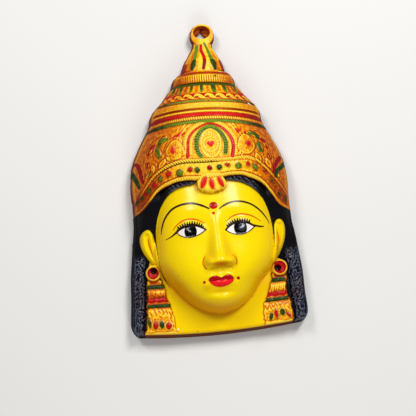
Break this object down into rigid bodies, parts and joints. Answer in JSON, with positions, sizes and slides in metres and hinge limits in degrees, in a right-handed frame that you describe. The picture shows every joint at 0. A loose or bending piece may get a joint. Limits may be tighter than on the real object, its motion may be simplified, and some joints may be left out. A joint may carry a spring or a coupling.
{
  "type": "deity face mask",
  "caption": "Hollow cast face mask with a tall tiered crown, long hair, hanging earrings and a loop at the top to hang it by.",
  "frame": {"origin": "middle of the mask's bounding box in X and Y, on the plane of its flat back rim", "axes": "the mask lies on its back: +Z points out of the face, +Y runs up the face to the hanging loop, +X is to the right of someone who looks at the face"},
  "size_m": [0.134, 0.2384, 0.0555],
  "materials": {
    "painted_plaster": "gloss enamel on cast plaster: yellow face, golden crown with red and green, black hair; bare white plaster behind"
  },
  "bodies": {
    "root": {"mask": "painted_plaster"}
  },
  "joints": []
}
